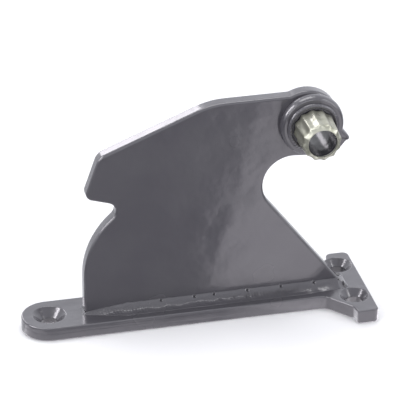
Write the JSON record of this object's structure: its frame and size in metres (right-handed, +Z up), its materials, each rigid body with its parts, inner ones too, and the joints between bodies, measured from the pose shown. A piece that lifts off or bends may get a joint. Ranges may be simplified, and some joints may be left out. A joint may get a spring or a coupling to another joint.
{
  "type": "quick coupler",
  "caption": "Welded side bracket of an excavator quick coupler: bolt-down foot, hooked side plate with pin scoop, and a pivot tube with a turning fluted wear sleeve.",
  "frame": {"origin": "axis of the left bolt hole at the foot plate's underside", "axes": "+X along the foot towards the head and pivot, +Z up, the pivot tube stands out towards -Y"},
  "size_m": [0.3661, 0.1275, 0.2458],
  "materials": {
    "painted_plate": "satin",
    "painted_weld": "satin, over a rippled weld bead",
    "zinc_sleeve": "dull zinc-plated"
  },
  "bodies": {
    "bracket": {"foot_plate": "painted_plate", "side_plate": "painted_plate", "boss_collar": "painted_plate", "pivot_tube": "painted_plate", "front_base_weld": "painted_weld", "rear_base_weld": "painted_weld", "left_end_weld": "painted_weld", "right_end_weld": "painted_weld", "collar_weld": "painted_weld", "tube_weld": "painted_weld", "rear_tube_weld": "painted_weld"},
    "sleeve": {"wear_sleeve": "zinc_sleeve"}
  },
  "joints": [
    {"name": "sleeve_turn", "type": "hinge", "parent": "bracket", "child": "sleeve", "pos_m": [0.2757, -0.038, 0.21], "axis": [0, 1, 0], "continuous": true}
  ]
}
